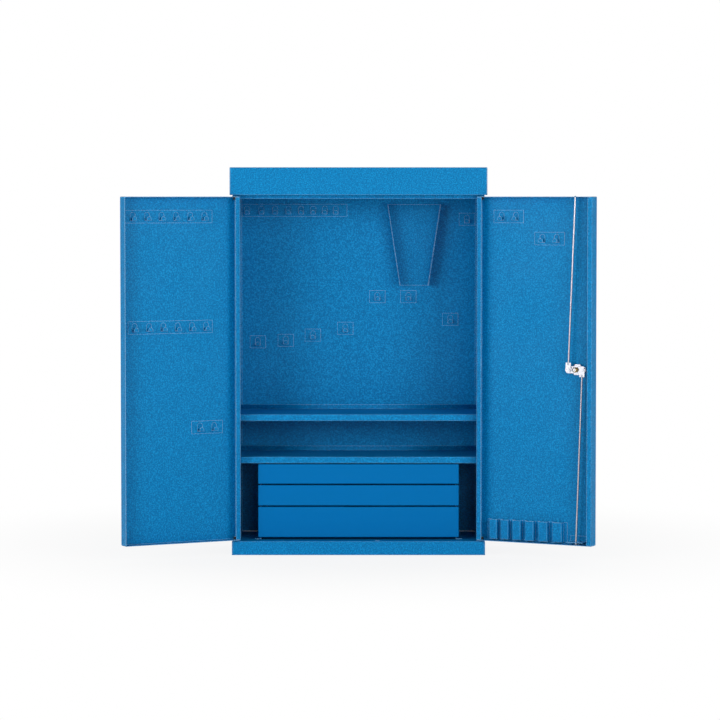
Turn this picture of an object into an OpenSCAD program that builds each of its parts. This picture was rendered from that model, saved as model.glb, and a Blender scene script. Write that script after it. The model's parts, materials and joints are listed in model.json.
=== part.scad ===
// Sheet steel tool cabinet with two hinged doors, two shelves and three drawers.
// Millimetres, +Z up. The origin is the middle of the back bottom edge, where wall and floor meet.
// Both doors stand open at rest, as far as door_open turns them from closed.

/* [Cabinet] */
// Width over the side walls
cabinet_w = 650; // [640:1:720]
// Depth from the wall to the front of the closed doors
cabinet_d = 250; // [230:1:320]
// Height from the floor to the top
cabinet_h = 1000; // [900:1:1200]
// Thickness of the folded sheet
sheet_t = 1.2; // [0.8:0.1:1.5]
// Inner radius of every fold
fold_r = 0.8; // [0.5:0.1:1.5]
// Width of the folded edges of the side walls
wall_lip = 16; // [12:1:18]
// Width of the folded front edge of a side wall
front_lip = 20; // [16:1:24]
// Gap between pieces that lie against each other
seat_gap = 0.2; // [0.1:0.05:0.3]

/* [Base and header] */
// Height of the base
base_h = 36; // [30:1:50]
// Amount that the base stands out past each side wall
base_overhang = 2; // [1:0.5:6]
// Height of the header above the doors
header_h = 71; // [60:1:90]
// Amount that the header stands out past each side wall
header_overhang = 6; // [3:0.5:10]
// Part of the head rail that shows below the header
rail_drop = 10; // [6:1:16]
// Height of the head rail
rail_h = 60; // [45:1:66]

/* [Wall fixing] */
// Distance between the fixing holes from left to right
wall_hole_w = 480; // [400:1:520]
// Height of the lower fixing holes above the floor
wall_hole_z = 140; // [120:1:150]
// Depth of the upper fixing holes below the top
wall_hole_top = 40; // [30:1:45]
// Diameter of a fixing hole
wall_hole_d = 10; // [8:0.5:12]

/* [Shelves] */
// Height of the top face of the upper shelf
upper_shelf_z = 362; // [340:1:420]
// Height of the top face of the lower shelf
lower_shelf_z = 252; // [250:1:280]
// Height of the folded edge of a shelf
shelf_lip = 17; // [12:1:20]
// Width of the return under the front edge of a shelf
shelf_return = 10; // [6:1:14]

/* [Drawers] */
// Distance from the side of the cabinet to a drawer front
drawer_inset = 65; // [45:1:85]
// Height of the top drawer's front
top_drawer_h = 51; // [46:1:56]
// Height of the middle drawer's front
middle_drawer_h = 53; // [46:1:58]
// Gap under the bottom drawer's front
drawer_floor_gap = 6.5; // [3:0.5:10]
// Gap between one drawer front and the next
drawer_gap = 3.5; // [2:0.5:5]
// Space behind a drawer tray
tray_room = 26; // [10:1:50]
// Depth of the folded edge round a drawer front
front_fold = 12; // [8:1:14]
// Width of the finger notch in the top edge of a drawer front
notch_w = 76; // [60:1:100]
// Height of a drawer runner
runner_h = 18; // [16:0.5:22]
// Depth of a drawer runner's channel
runner_w = 9.8; // [8:0.1:12]

/* [Doors] */
// Angle that a door is open at rest, from closed
door_open = 152; // [90:1:175]
// Depth of a door
door_t = 30; // [24:1:34]
// Gap between the doors when both are closed
door_gap = 4; // [2:0.5:8]
// Gap above and below a door
door_play = 3; // [2.6:0.1:5]
// Width of the folded lip along the edges of a door
door_lip = 13; // [8:1:16]
// Distance from the hinge pin's axis to the side of the door
pin_inset = 6.5; // [6:0.5:8]
// Distance from the hinge pin's axis to the front of the door
pin_back = 11; // [10:0.5:12]
// Diameter of a hinge pin
pin_d = 6; // [5:0.1:6]
// Radial clearance of pins, spindle and barrel in their holes
running_gap = 0.08; // [0.05:0.01:0.1]

/* [Lock and rods] */
// Height of the lock above the floor
lock_z = 486; // [420:1:560]
// Distance from the lock's axis to the free edge of its door
lock_inset = 50.5; // [46:0.5:60]
// Distance from the lock's axis to each rod's pin
arm = 19.5; // [15:0.5:22]
// Diameter of a locking rod
rod_d = 5; // [4:0.5:7]
// Distance from the upper rod's end to the free edge of its door
upper_rod_inset = 52; // [44:0.5:60]
// Distance from the lower rod's end to the free edge of its door
lower_rod_inset = 47; // [40:0.5:52]
// Diameter of the spindle
spindle_d = 8; // [7:0.5:9]
// Length of the handle's grip
grip_l = 100; // [80:1:120]
// Diameter of the key barrel
barrel_d = 14; // [12:0.5:16]

/* [Tool holders] */
// Thickness of the sheet of the chisel holder
holder_t = 1; // [0.8:0.1:1.5]
// Thickness of a hook plate
hook_t = 1.5; // [1:0.1:2]
// Height of a hook plate
hook_plate_h = 33; // [31:1:36]
// Width of a hook
hook_w = 12; // [9:0.5:14]
// Distance that a hook reaches out
hook_out = 12; // [9:0.5:13]
// Height of a hook's turned up end
hook_up = 9; // [7:0.5:10]
// Height of the spanner rack
rack_h = 214; // [180:1:240]
// Depth of the spanner rack's side fins
rack_d = 38; // [30:1:50]
// Number of notches in each fin of the spanner rack
rack_notches = 14; // [8:1:16]
// Number of pockets in the chisel holder
pockets = 6; // [4:1:6]
// Depth of a pocket in the chisel holder
pocket_d = 14; // [10:0.5:16]
// Height of the chisel holder
pocket_h = 50; // [40:1:60]

/* [Hidden] */

$fn = 24;
blue = [0.02, 0.47, 0.72];
zinc = [0.78, 0.80, 0.82];
brass = [0.72, 0.60, 0.34];
dark = [0.12, 0.12, 0.13];

fold_steps = 3;
relief = fold_r + sheet_t;
half_w = cabinet_w / 2;
back_y = 0;
front_y = -cabinet_d;
base_top = base_h;
cap_bottom = cabinet_h - header_h;

// The hinges.
bush_wall = 1.5;
bush_d = pin_d + 2 * running_gap + 2 * bush_wall;
bush_flange_d = bush_d + 3;
bush_flange_t = 1;
bush_l = 8;
collar_d = 10;
pin_reach = 12;
pin_head_t = 3;

// The doors fill the space between the header's flange and the base.
door_set_back = 1;
door_face_y = front_y + door_set_back;
pin_x = half_w - pin_inset;
pin_y = door_face_y + pin_back;
door_low = base_top + door_play;
door_high = cap_bottom - door_play - bush_flange_t;
door_v0 = -pin_back;
skin_v = door_v0 + sheet_t;
door_u1 = pin_x - door_gap / 2;

// The walls start just behind the closed doors, and the header's flange ends before them.
wall_gap = 2;
wall_y0 = door_face_y + door_t + wall_gap;
header_flange = wall_y0 - front_y - 3;
panel_y = back_y - sheet_t;
wall_y1 = panel_y;
wall_top = cabinet_h - sheet_t;
inner_w = half_w - sheet_t;
rail_half = inner_w - fold_r - seat_gap;
shelf_y0 = wall_y0 + sheet_t + seat_gap;
shelf_y1 = wall_y1 - sheet_t - seat_gap;

// The drawers hang between two walls under the lower shelf.
drawer_w = cabinet_w - 2 * drawer_inset;
drawer_set_back = 2;
drawer_y0 = shelf_y0 + drawer_set_back;
tray_y0 = drawer_y0 + sheet_t + seat_gap;
tray_d = panel_y - tray_room - tray_y0;
drawer_top_gap = 2.5;
front_cover = 6;
housing_x = drawer_w / 2 - front_cover;
housing_t = 1.5;
housing_y0 = drawer_y0 + front_fold + 3;
housing_y1 = shelf_y1 - 4;
housing_flange = 15;
runner_t = 1.2;
runner_x = housing_x - housing_t - seat_gap / 2;
runner_y0 = housing_y0 + 1;
runner_l = housing_y1 - runner_y0 - 6;
slide_gap = 1.6;
slide_h = runner_h - 2 * runner_t - 2 * seat_gap;
slide_l = runner_l - 16;
tray_half = runner_x - runner_w - slide_gap;
tray_low = 5;
tray_high = 7;

// The bottom drawer fills what the other two leave.
bottom_drawer_h = lower_shelf_z - shelf_lip - drawer_top_gap - top_drawer_h - middle_drawer_h
    - 2 * drawer_gap - drawer_floor_gap - base_top;
drawer_heights = [top_drawer_h, middle_drawer_h, bottom_drawer_h];

// Height of the bottom edge of drawer front i, counted from the top down.
function front_low(i) =
    i < 0 ? lower_shelf_z - shelf_lip - drawer_top_gap + drawer_gap
          : front_low(i - 1) - drawer_gap - drawer_heights[i];
function tray_low_z(i) = front_low(i) + tray_low;
function tray_height(i) = drawer_heights[i] - tray_low - tray_high;
function runner_z(i) = tray_low_z(i) + tray_height(i) / 2;

// The lock: its layers are counted from the hinge pin's plane towards the inside.
lock_u = door_u1 - lock_inset;
upper_guide_u = door_u1 - upper_rod_inset;
lower_guide_u = door_u1 - lower_rod_inset;
sleeve_d = 20;
ring_nut_af = 27;
ring_nut_t = 6;
cam_v = 3;
cam_t = 3;
cam_w = 18;
eye_gap = 0.2;
eye_v = cam_v + cam_t + eye_gap;
eye_t = 3;
eye_w = 14;
eye_l = 12;
rod_v = eye_v + eye_t / 2;
rod_pin_d = 5;
rod_pin_head_d = 8;
rod_pin_head_t = 1.5;
rod_end = 1.5;
slot_w = 17;
slot_h = rod_d + 2;
slot_shift = 1.8;
rosette_d = 46;
rosette_t = 2;
grip_w = 20;
grip_t = 14;
hub_d = 28;
neck_l = 16;
spindle_in = 14;
handle_v = door_v0 - rosette_t - eye_gap;
grip_v = handle_v - neck_l;
handle_end_v = grip_v - grip_t;
barrel_l = 10;
key_slot = [8, 1.6];
nut_af = 13;
nut_t = 6.5;
keeper_d = rod_d + 8;

// The rods lean a little, from their pins on the cam bar to their slots in the door.
rod_out = 1.5;
upper_run = door_high - lock_z;
lower_run = lock_z - door_low;
upper_lean = atan((upper_guide_u - lock_u + arm) / upper_run);
lower_lean = atan((lock_u + arm - lower_guide_u) / lower_run);

// The tool holders: what hangs on the back is counted from the head rail down.
holder_back = panel_y - seat_gap / 2;
rail_bottom = cap_bottom - rail_drop;
hook_foot = 6.5;
hook_hole_play = 0.5;
hook_sides = 16;
back_rail_x = -half_w + wall_lip + 2;
back_rail_w = 0.426 * cabinet_w;
back_rail_z = rail_bottom - hook_plate_h - 14;
single_w = 42;
single_reach = half_w - wall_lip - 1 - single_w / 2;
rack_x = 0.5122 * single_reach;
rack_bottom = rail_bottom - 15 - rack_h;
rack_top_half = 70.5;
rack_bottom_half = 38;
rack_t = 1.2;
notch_deep = 8;
notch_tall = 6;
guide_z = door_low + 7;
guide_t = 1.5;
guide_w = 44;
guide_h = 16;
guide_out = 9;

// Each single hook plate has a share of the reach to the right of the middle, and a height
// over the foot of the rack.
single_places = [
    [-0.93, -166.5], [-0.672, -162.5], [-0.422, -148.5], [-0.122, -130.5],
    [0.174, -46.5], [0.46, -46.5], [0.847, -106.5], [1, 158.5]
];

// The hook rails on the doors, whose places are shares of a door's width and height.
door_w = door_u1 + pin_inset;
door_h = door_high - door_low;
hook_pitch = 0.124 * door_w;
function along_door(share) = share * door_w - pin_inset;
function up_door(share) = door_low + share * door_h;

// The chisel holder reaches from the hinge side to the rod guide, and its pockets grow.
holder_gap = 9;
holder_start = 13.5;
holder_w = lower_guide_u - guide_w / 2 - holder_gap - holder_start;
pocket_first = 0.0933 * holder_w;
pocket_step = 0.0049 * holder_w;
web_first = 0.0467 * holder_w;
web_step = 0.004 * holder_w;
pocket_start = holder_start + web_first;
pocket_z = door_low + 5;

// ---- Folded sheet ----

// Turns a plane vector by an angle.
function turned(v, a) = [v[0] * cos(a) - v[1] * sin(a), v[0] * sin(a) + v[1] * cos(a)];
function unit(v) = v / norm(v);
function left_of(d) = [-d[1], d[0]];

// The arc that replaces one corner of a fold line, set off to its left by off.
function corner(p, d1, d2, r, off) =
    let (
        s = sign(d1[0] * d2[1] - d1[1] * d2[0]),
        a = s * acos(d1 * d2),
        c = p - d1 * r * tan(abs(a) / 2) + left_of(d1) * s * r
    )
    [for (k = [0:fold_steps]) c - turned(left_of(d1) * s, a * k / fold_steps) * (r - s * off)];

// One side of a folded strip: the ends are square and every corner is an arc.
function strip_side(path, r, off) =
    let (
        n = len(path) - 1,
        d = [for (i = [0:n - 1]) unit(path[i + 1] - path[i])]
    )
    concat(
        [path[0] + left_of(d[0]) * off],
        [for (i = [1:1:n - 1]) each corner(path[i], d[i - 1], d[i], r, off)],
        [path[n] + left_of(d[n - 1]) * off]
    );

// The cross-section of sheet of thickness t folded along path.
module folded(path, t = sheet_t) {
    r = fold_r + t / 2;
    near = strip_side(path, r, t / 2);
    far = strip_side(path, r, -t / 2);
    polygon(concat(near, [for (i = [len(far) - 1:-1:0]) far[i]]));
}

// The middle line across a pan whose outer width is w; a and b are [flange, lip] of its sides.
function pan_path(w, a, b, t) =
    let (m = t / 2)
    concat(
        a[1] > 0 ? [[a[1], a[0] - m]] : [],
        a[0] > 0 ? [[m, a[0] - (a[1] > 0 ? m : 0)]] : [],
        [[a[0] > 0 ? m : 0, m], [w - (b[0] > 0 ? m : 0), m]],
        b[0] > 0 ? [[w - m, b[0] - (b[1] > 0 ? m : 0)]] : [],
        b[1] > 0 ? [[w - b[1], b[0] - m]] : []
    );

// A pan of folded sheet, w by h, with its flat on Z = 0 and its flanges up.
// Each side is [flange, lip], and the folds stop short of the corners.
module pan(w, h, left, right, low, high, t = sheet_t) {
    cut = fold_r + t;
    y0 = low[0] > 0 ? cut : 0;
    y1 = h - (high[0] > 0 ? cut : 0);
    x0 = left[0] > 0 ? cut : 0;
    x1 = w - (right[0] > 0 ? cut : 0);
    translate([0, y1, 0]) rotate([90, 0, 0]) linear_extrude(y1 - y0)
        folded(pan_path(w, left, right, t), t);
    if (low[0] > 0 || high[0] > 0)
        translate([x0, 0, 0]) rotate([90, 0, 90]) linear_extrude(x1 - x0)
            folded(pan_path(h, low, high, t), t);
}

// A pan turned over, so that its flanges hang down: low is its back and high its front.
module hanging_pan(w, y0, y1, top, side, back, front, t = sheet_t)
    translate([-w / 2, y1, top]) rotate([180, 0, 0]) pan(w, y1 - y0, side, side, back, front, t);

// A pan that stands upright, with its flat in front and its flanges towards +Y.
module upright_pan(x0, y0, z0, w, h, left, right, low, high)
    translate([x0, y0, z0 + h]) rotate([-90, 0, 0]) pan(w, h, left, right, high, low);

module both_sides() {
    children();
    mirror([1, 0, 0]) children();
}

// ---- Cabinet ----

module left_side_wall() color(blue)
    translate([-half_w, wall_y0, base_top]) rotate([90, 0, 90])
        pan(wall_y1 - wall_y0, wall_top - base_top, [front_lip, 0], [wall_lip, 0],
            [wall_lip, 0], [wall_lip, 0]);

module right_side_wall() mirror([1, 0, 0]) left_side_wall();

module back_panel() color(blue) difference() {
    translate([-inner_w, panel_y, base_top])
        cube([2 * inner_w, sheet_t, wall_top - base_top]);
    for (x = [-1, 1], z = [wall_hole_z, cabinet_h - wall_hole_top])
        translate([x * wall_hole_w / 2, panel_y - 1, z]) rotate([-90, 0, 0])
            cylinder(d = wall_hole_d, h = sheet_t + 2);
}

// The cap is a lid with a deep front, folded under to carry the upper hinge pins.
module top_cap() color(blue) difference() {
    hanging_pan(cabinet_w + 2 * header_overhang, front_y, back_y, cabinet_h,
        [header_h, 0], [0, 0], [header_h, header_flange]);
    both_sides() translate([pin_x, pin_y, cap_bottom - 1])
        cylinder(d = pin_d + seat_gap, h = sheet_t + 2);
    translate([pin_x - upper_guide_u, pin_y + rod_v, cap_bottom - 1])
        cylinder(d = keeper_d, h = sheet_t + 2);
}

module head_rail() color(blue)
    translate([-rail_half, 0, 0]) rotate([90, 0, 90])
        linear_extrude(2 * rail_half) {
            y = wall_y0 + sheet_t + seat_gap + sheet_t / 2;
            z0 = rail_bottom + sheet_t / 2;
            z1 = z0 + rail_h - sheet_t;
            folded([[y + wall_lip, z0], [y, z0], [y, z1], [y + wall_lip, z1]]);
        }

module base_tray() color(blue) difference() {
    hanging_pan(cabinet_w + 2 * base_overhang, front_y, back_y, base_top,
        [base_h, wall_lip], [base_h, wall_lip], [base_h, wall_lip]);
    both_sides() translate([pin_x, pin_y, base_top - sheet_t - 1])
        cylinder(d = pin_d + seat_gap, h = sheet_t + 2);
    translate([pin_x - lower_guide_u, pin_y + rod_v, base_top - sheet_t - 1])
        cylinder(d = keeper_d, h = sheet_t + 2);
}

module shelf(top)
    hanging_pan(2 * (inner_w - seat_gap), shelf_y0, shelf_y1, top,
        [shelf_lip, 0], [shelf_lip, 0], [shelf_lip, shelf_return]);

module upper_shelf() color(blue) shelf(upper_shelf_z);
module lower_shelf() color(blue) shelf(lower_shelf_z);

module left_drawer_wall() color(blue)
    translate([0, housing_y1, 0]) rotate([90, 0, 0]) linear_extrude(housing_y1 - housing_y0) {
        low = base_top + seat_gap / 2 + housing_t / 2;
        high = lower_shelf_z - sheet_t - seat_gap / 2 - housing_t / 2;
        x = housing_x - housing_t / 2;
        folded([[-x - housing_flange, low], [-x, low], [-x, high], [-x - housing_flange, high]],
            housing_t);
    }

module right_drawer_wall() mirror([1, 0, 0]) left_drawer_wall();

// A channel along Y: its web is at x, its flanges reach towards x + reach.
module channel(x, reach, z, h, t, y0, l)
    translate([0, y0 + l, z]) rotate([90, 0, 0]) linear_extrude(l) {
        xm = x + sign(reach) * t / 2;
        zm = h / 2 - t / 2;
        folded([[x + reach, zm], [xm, zm], [xm, -zm], [x + reach, -zm]], t);
    }

module drawer_runners() color(zinc) for (i = [0:2])
    both_sides() channel(-runner_x, runner_w, runner_z(i), runner_h, runner_t,
        runner_y0, runner_l);

// ---- Tool holders ----

// A tongue bent out of a plate at Y = 0: it reaches towards -Y, turns up and has a round end.
module hook() intersection() {
    top = hook_t / 2 + hook_up;
    translate([-hook_w, 0, 0]) rotate([90, 0, 90]) linear_extrude(2 * hook_w)
        folded([[0, 0], [-hook_out, 0], [-hook_out, top]], hook_t);
    translate([0, hook_t, 0]) rotate([90, 0, 0]) linear_extrude(hook_out + 3 * hook_t) {
        translate([0, top - hook_w / 2]) circle(d = hook_w, $fn = hook_sides);
        translate([-hook_w / 2, -2 * hook_t]) square([hook_w, 2 * hook_t + top - hook_w / 2]);
    }
}

// The hole that a tongue leaves above its root, as long as the tongue and round at its top.
module hook_hole() rotate([90, 0, 0]) linear_extrude(hook_t + 2) {
    w = hook_w + 2 * hook_hole_play;
    l = hook_out + hook_up - hook_t;
    translate([0, l - w / 2]) circle(d = w, $fn = hook_sides);
    translate([-w / 2, 0]) square([w, l - w / 2]);
}

// A hook plate w wide with its left end at X = 0, its foot at Z = 0 and its back at Y = 0.
module hook_plate(w, places) {
    difference() {
        translate([0, -hook_t, 0]) cube([w, hook_t, hook_plate_h]);
        for (x = places) translate([x, 1, hook_foot + hook_t]) hook_hole();
    }
    for (x = places) translate([x, -hook_t / 2, hook_foot + hook_t / 2]) hook();
}

// Hook places along the back rail: each step is a little shorter than the one before.
function back_place(i) = (0.0433 + 0.1372 * i - 0.0027 * i * (i - 1)) * back_rail_w;

module back_hook_rail() color(blue) translate([back_rail_x, holder_back, back_rail_z])
    hook_plate(back_rail_w, [for (i = [0:7]) back_place(i)]);

module single_hooks() color(blue) for (p = single_places)
    translate([p[0] * single_reach - single_w / 2, holder_back, rack_bottom + p[1]])
        hook_plate(single_w, [single_w / 2]);

// A fin of the rack, standing on Y = 0 with its foot at the origin and notches down its edge.
module rack_fin(l) rotate([90, 0, 90]) linear_extrude(rack_t) difference() {
    translate([-rack_d, 0]) square([rack_d, l]);
    for (i = [1:rack_notches]) {
        z = i * l / (rack_notches + 1);
        polygon([
            [-rack_d - 1, z + notch_tall], [-rack_d - 1, z], [-rack_d + notch_deep, z - notch_tall],
            [-rack_d + notch_deep, z - notch_tall / 2]
        ]);
    }
}

module spanner_rack() color(blue) {
    lean = atan((rack_top_half - rack_bottom_half) / rack_h);
    l = rack_h / cos(lean);
    translate([rack_x, holder_back, rack_bottom]) {
        rotate([90, 0, 0]) linear_extrude(rack_t) polygon([
            [-rack_bottom_half, 0], [rack_bottom_half, 0],
            [rack_top_half, rack_h], [-rack_top_half, rack_h]
        ]);
        both_sides() translate([-rack_bottom_half, 0, 0]) rotate([0, -lean, 0]) rack_fin(l);
    }
}

// ---- Doors ----

// Places a door's own axes at rest: X along the door from the pin, Y inwards, Z up.
module on_left_door()
    translate([-pin_x, pin_y, 0]) rotate([0, 0, -door_open]) children();
module on_right_door() mirror([1, 0, 0]) on_left_door() children();

module door_pan(free_lip, hinge_lip) difference() {
    upright_pan(-pin_inset, door_v0, door_low, door_u1 + pin_inset, door_high - door_low,
        [door_t, hinge_lip], [door_t, free_lip], [door_t, 0], [door_t, 0]);
    for (z = [door_low, door_high - sheet_t]) translate([0, 0, z - 1])
        cylinder(d = bush_d + seat_gap, h = sheet_t + 2);
}

module door_bushes() {
    bush(door_low, -1);
    bush(door_high, 1);
}

// A flanged bush whose flange lies outside the door's edge at height z.
module bush(z, way) translate([0, 0, z]) mirror([0, 0, way < 0 ? 1 : 0]) difference() {
    union() {
        cylinder(d = bush_flange_d, h = bush_flange_t);
        translate([0, 0, -bush_l]) cylinder(d = bush_d, h = bush_l);
    }
    translate([0, 0, -bush_l - 1])
        cylinder(d = pin_d + 2 * running_gap, h = bush_l + bush_flange_t + 2);
}

// A rail of hooks that starts at u, with its middle at height z and margin mm at both ends.
module door_hook_rail(u, z, count, margin) {
    w = (count - 1) * hook_pitch + 2 * margin;
    translate([u + w, skin_v + seat_gap / 2, z - hook_plate_h / 2]) rotate([0, 0, 180])
        hook_plate(w, [for (i = [0:count - 1]) margin + hook_pitch * i]);
}

module left_door_pan() color(blue) on_left_door() door_pan(0, door_lip);
module left_door_bushes() color(dark) on_left_door() door_bushes();
module left_upper_hook_rail() color(blue) on_left_door()
    door_hook_rail(along_door(0.206), up_door(0.9424), count = 6, margin = 22);
module left_middle_hook_rail() color(blue) on_left_door()
    door_hook_rail(along_door(0.206), up_door(0.6242), count = 6, margin = 18);
module left_lower_hook_rail() color(blue) on_left_door()
    door_hook_rail(along_door(0.119), up_door(0.3318), count = 2, margin = 24);

module right_door_pan() color(blue) on_right_door() difference() {
    door_pan(door_lip, door_lip);
    translate([lock_u, door_v0 - 1, lock_z]) rotate([-90, 0, 0])
        cylinder(d = sleeve_d + seat_gap, h = sheet_t + 2);
    rod_slot(upper_guide_u - slot_shift, door_high - sheet_t);
    rod_slot(lower_guide_u + slot_shift, door_low);
}

// A slot across the door for a rod that swings a little as it slides.
module rod_slot(u, z) translate([u, rod_v, z - 1]) linear_extrude(sheet_t + 2)
    stadium(slot_w - slot_h, slot_h);

// A slot shape whose round ends, w across, stand l apart.
module stadium(l, w) {
    for (s = [-1, 1]) translate([s * l / 2, 0]) circle(d = w);
    square([l, w], center = true);
}

module right_door_bushes() color(dark) on_right_door() door_bushes();
module right_upper_hook_rail() color(blue) on_right_door()
    door_hook_rail(along_door(0.11), up_door(0.9424), count = 2, margin = 22);
module right_lower_hook_rail() color(blue) on_right_door()
    door_hook_rail(along_door(0.466), up_door(0.8792), count = 2, margin = 22);

// Start and width of each pocket: both grow from the first to the last.
function pocket_w(i) = pocket_first + pocket_step * i;
function web_w(i) = web_first + web_step * i;
function pocket_u(i) = i == 0 ? pocket_start : pocket_u(i - 1) + pocket_w(i - 1) + web_w(i - 1);

// One strip folded into a row of open pockets.
module chisel_holder() color(blue) on_right_door()
    translate([0, skin_v + seat_gap / 2, pocket_z]) linear_extrude(pocket_h) {
        m = holder_t / 2;
        last = pocket_u(pockets - 1) + pocket_w(pockets - 1);
        folded(concat(
            [[holder_start, m]],
            [for (i = [0:pockets - 1]) each [
                [pocket_u(i) + m, m], [pocket_u(i) + m, pocket_d],
                [pocket_u(i) + pocket_w(i) - m, pocket_d], [pocket_u(i) + pocket_w(i) - m, m]
            ]],
            [[last + web_first, m]]
        ), holder_t);
    }

// ---- Lock and rods, all on the right door ----

module along_v(v0, v1, d) translate([0, v0, 0]) rotate([-90, 0, 0]) cylinder(d = d, h = v1 - v0);
module at_lock() on_right_door() translate([lock_u, 0, lock_z]) children();

// The guide is an angle on the door's skin with a slot for the lower rod.
module rod_guide() color(zinc) on_right_door() difference() {
    translate([lower_guide_u - guide_w / 2, 0, guide_z]) rotate([90, 0, 90]) linear_extrude(guide_w) {
        v = skin_v + seat_gap / 2 + guide_t / 2;
        z = guide_t / 2;
        folded([[v, guide_h], [v, z], [rod_v + guide_out, z]], guide_t);
    }
    rod_slot(lower_guide_u + slot_shift, guide_z);
}

module lock_housing() color(zinc) at_lock() difference() {
    union() {
        along_v(door_v0 - rosette_t, door_v0 - seat_gap / 2, rosette_d);
        along_v(door_v0 - rosette_t, cam_v - 1, sleeve_d);
    }
    along_v(door_v0 - rosette_t - 1, cam_v, spindle_d + 2 * running_gap);
}

module hexagon(af, t) rotate([-90, 0, 0]) cylinder(d = af / cos(30), h = t, $fn = 6);

module housing_nut() color(zinc) at_lock() translate([0, skin_v + seat_gap / 2, 0]) difference() {
    hexagon(ring_nut_af, ring_nut_t);
    along_v(-1, ring_nut_t + 1, sleeve_d + seat_gap);
}

module turn_handle() color(dark) at_lock() difference() {
    union() {
        translate([0, handle_v, 0]) rotate([90, 0, 0]) rotate_extrude() polygon([
            [0, 0], [19, 0], [19, 2], [16, 5], [13, 10], [12, neck_l], [0, neck_l]
        ]);
        translate([0, grip_v, 0]) rotate([90, 0, 0]) linear_extrude(grip_t) union() {
            stadium(grip_l - grip_w, grip_w);
            circle(d = hub_d);
        }
    }
    along_v(handle_v - spindle_in, handle_v + 1, spindle_d + seat_gap);
    along_v(handle_end_v - 1, handle_end_v + barrel_l + seat_gap, barrel_d + 2 * running_gap);
}

module spindle() color(zinc) at_lock()
    along_v(handle_v - spindle_in + seat_gap, cam_v + cam_t + nut_t + 1, spindle_d);

module key_barrel() color(zinc) at_lock() difference() {
    along_v(handle_end_v - 0.6, handle_end_v + barrel_l, barrel_d);
    translate([-key_slot[0] / 2, handle_end_v - 2, -key_slot[1] / 2])
        cube([key_slot[0], 8, key_slot[1]]);
}

module cam_bar() color(zinc) at_lock() difference() {
    translate([0, cam_v + cam_t, 0]) rotate([90, 0, 0]) linear_extrude(cam_t)
        stadium(2 * arm, cam_w);
    along_v(cam_v - 1, cam_v + cam_t + 1, spindle_d + seat_gap);
    for (s = [-1, 1]) translate([s * arm, 0, 0])
        along_v(cam_v - 1, cam_v + cam_t + 1, rod_pin_d + seat_gap);
}

module cam_nut() color(brass) at_lock() translate([0, cam_v + cam_t + eye_gap / 2, 0]) difference() {
    hexagon(nut_af, nut_t);
    along_v(-1, nut_t + 1, spindle_d + seat_gap);
}

module rod_pins() color(zinc) at_lock() for (s = [-1, 1]) translate([s * arm, 0, 0]) {
    along_v(cam_v - eye_gap / 2 - rod_pin_head_t, cam_v - eye_gap / 2, rod_pin_head_d);
    along_v(cam_v - eye_gap, eye_v + eye_t + eye_gap, rod_pin_d);
    along_v(eye_v + eye_t + eye_gap / 2, eye_v + eye_t + eye_gap / 2 + rod_pin_head_t,
        rod_pin_head_d);
}

// A rod along +Z from its eye at the origin, whose pin runs along Y.
module rod(l) difference() {
    union() {
        translate([0, eye_t / 2, 0]) rotate([90, 0, 0]) linear_extrude(eye_t) union() {
            circle(d = eye_w);
            translate([-eye_w / 2, 0]) square([eye_w, eye_l + 6]);
        }
        translate([0, 0, eye_l]) cylinder(d = rod_d, h = l - eye_l - rod_end);
        translate([0, 0, l - rod_end]) cylinder(d1 = rod_d, d2 = rod_d - 2, h = rod_end);
    }
    along_v(-eye_t, eye_t, rod_pin_d + 2 * running_gap);
}

module upper_rod() color(zinc) on_right_door() translate([lock_u - arm, rod_v, lock_z])
    rotate([0, upper_lean, 0]) rod((upper_run + rod_out) / cos(upper_lean));

module lower_rod() color(zinc) on_right_door() translate([lock_u + arm, rod_v, lock_z])
    rotate([0, 180 + lower_lean, 0]) rod((lower_run + rod_out) / cos(lower_lean));

// ---- Hinge pins ----

module top_hinge_pins() color(blue) both_sides() translate([pin_x, pin_y, cap_bottom + sheet_t]) {
    translate([0, 0, seat_gap / 2]) cylinder(d = collar_d, h = pin_head_t);
    translate([0, 0, -pin_reach]) cylinder(d = pin_d, h = pin_reach + seat_gap);
}

// The lower pins carry the doors on a collar just under the bushes.
module bottom_hinge_pins() color(blue) both_sides() translate([pin_x, pin_y, base_top]) {
    translate([0, 0, seat_gap / 2])
        cylinder(d = collar_d, h = door_play - bush_flange_t - seat_gap);
    translate([0, 0, -sheet_t - pin_head_t - seat_gap / 2]) cylinder(d = collar_d, h = pin_head_t);
    translate([0, 0, -sheet_t - seat_gap]) cylinder(d = pin_d, h = pin_reach + sheet_t);
}

// ---- Drawers ----

module drawer_tray(i) translate([-tray_half, tray_y0, tray_low_z(i)])
    pan(2 * tray_half, tray_d, [tray_height(i), 0], [tray_height(i), 0],
        [tray_height(i), 0], [tray_height(i), 0]);

module drawer_front(i) difference() {
    upright_pan(-drawer_w / 2, drawer_y0, front_low(i), drawer_w, drawer_heights[i],
        [front_fold, 0], [front_fold, 0], [front_fold, 0], [front_fold, 0]);
    translate([-notch_w / 2, drawer_y0 + relief, front_low(i) + drawer_heights[i] - relief])
        cube([notch_w, front_fold, relief + 1]);
}

module drawer_slides(i) both_sides()
    channel(-tray_half - seat_gap / 2, -runner_w + runner_t, runner_z(i), slide_h, runner_t,
        runner_y0, slide_l);

module top_drawer_tray() color(blue) drawer_tray(0);
module top_drawer_front() color(blue) drawer_front(0);
module top_drawer_slides() color(zinc) drawer_slides(0);
module middle_drawer_tray() color(blue) drawer_tray(1);
module middle_drawer_front() color(blue) drawer_front(1);
module middle_drawer_slides() color(zinc) drawer_slides(1);
module bottom_drawer_tray() color(blue) drawer_tray(2);
module bottom_drawer_front() color(blue) drawer_front(2);
module bottom_drawer_slides() color(zinc) drawer_slides(2);

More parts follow.
